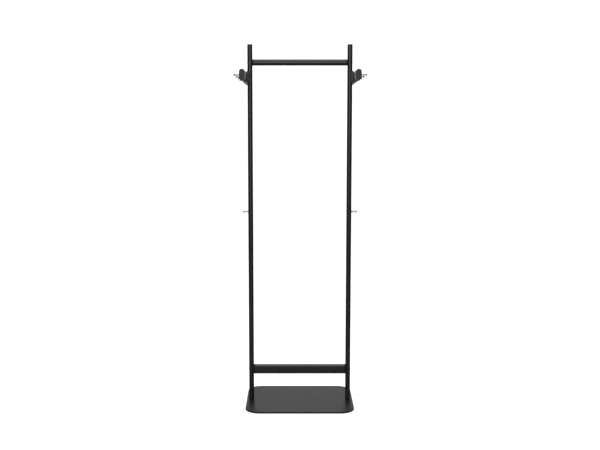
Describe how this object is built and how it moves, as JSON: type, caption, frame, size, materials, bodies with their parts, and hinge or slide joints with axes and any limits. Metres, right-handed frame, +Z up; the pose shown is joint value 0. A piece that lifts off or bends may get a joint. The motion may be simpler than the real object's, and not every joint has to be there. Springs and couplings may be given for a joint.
{
  "type": "standing coat rack",
  "caption": "Free-standing coat rack: a flat floor plate, tube uprights, a hanging rail, a low stretcher and flat-oval side rails with turned pegs.",
  "frame": {"origin": "on the floor, midway between the uprights and between the ends of the side rails; the floor plate's own middle lies 15 mm behind it", "axes": "+Z up, +X to the right of the rack, -Y to its front"},
  "size_m": [0.6226, 0.5, 1.8],
  "materials": {
    "black_paint": "fine satin powder coat",
    "black_plastic": "moulded, lightly textured",
    "peg_steel": "turned and satin polished",
    "black_screw": "blackened steel",
    "insert_steel": "plain zinc-plated steel",
    "rubber": "matt"
  },
  "bodies": {
    "root": {"base_plate": "black_paint", "hanging_rail": "black_paint", "lower_stretcher": "black_paint", "left_upright": "black_paint", "left_peg_rail": "black_paint", "left_tab_front": "black_paint", "left_tab_back": "black_paint", "left_top_cap": "black_plastic", "left_rail_cap_front": "black_plastic", "left_rail_cap_back": "black_plastic", "left_foot_insert": "insert_steel", "left_foot_bolt": "black_screw", "floor_pad_front_left": "rubber", "left_tab_screw_front_1": "black_screw", "left_tab_screw_front_2": "black_screw", "floor_pad_back_left": "rubber", "left_tab_screw_back_1": "black_screw", "left_tab_screw_back_2": "black_screw", "left_upright_peg": "peg_steel", "left_rail_peg_1": "peg_steel", "left_rail_peg_2": "peg_steel", "left_rail_peg_3": "peg_steel", "left_rail_peg_4": "peg_steel", "hanging_rail_saddle_left": "black_plastic", "hanging_rail_insert_left": "insert_steel", "hanging_rail_bolt_left": "black_screw", "lower_stretcher_saddle_left": "black_plastic", "lower_stretcher_insert_left": "insert_steel", "lower_stretcher_bolt_left": "black_screw", "right_upright": "black_paint", "right_peg_rail": "black_paint", "right_tab_front": "black_paint", "right_tab_back": "black_paint", "right_top_cap": "black_plastic", "right_rail_cap_front": "black_plastic", "right_rail_cap_back": "black_plastic", "right_foot_insert": "insert_steel", "right_foot_bolt": "black_screw", "floor_pad_front_right": "rubber", "right_tab_screw_front_1": "black_screw", "right_tab_screw_front_2": "black_screw", "floor_pad_back_right": "rubber", "right_tab_screw_back_1": "black_screw", "right_tab_screw_back_2": "black_screw", "right_upright_peg": "peg_steel", "right_rail_peg_1": "peg_steel", "right_rail_peg_2": "peg_steel", "right_rail_peg_3": "peg_steel", "right_rail_peg_4": "peg_steel", "hanging_rail_saddle_right": "black_plastic", "hanging_rail_insert_right": "insert_steel", "hanging_rail_bolt_right": "black_screw", "lower_stretcher_saddle_right": "black_plastic", "lower_stretcher_insert_right": "insert_steel", "lower_stretcher_bolt_right": "black_screw"}
  },
  "joints": []
}
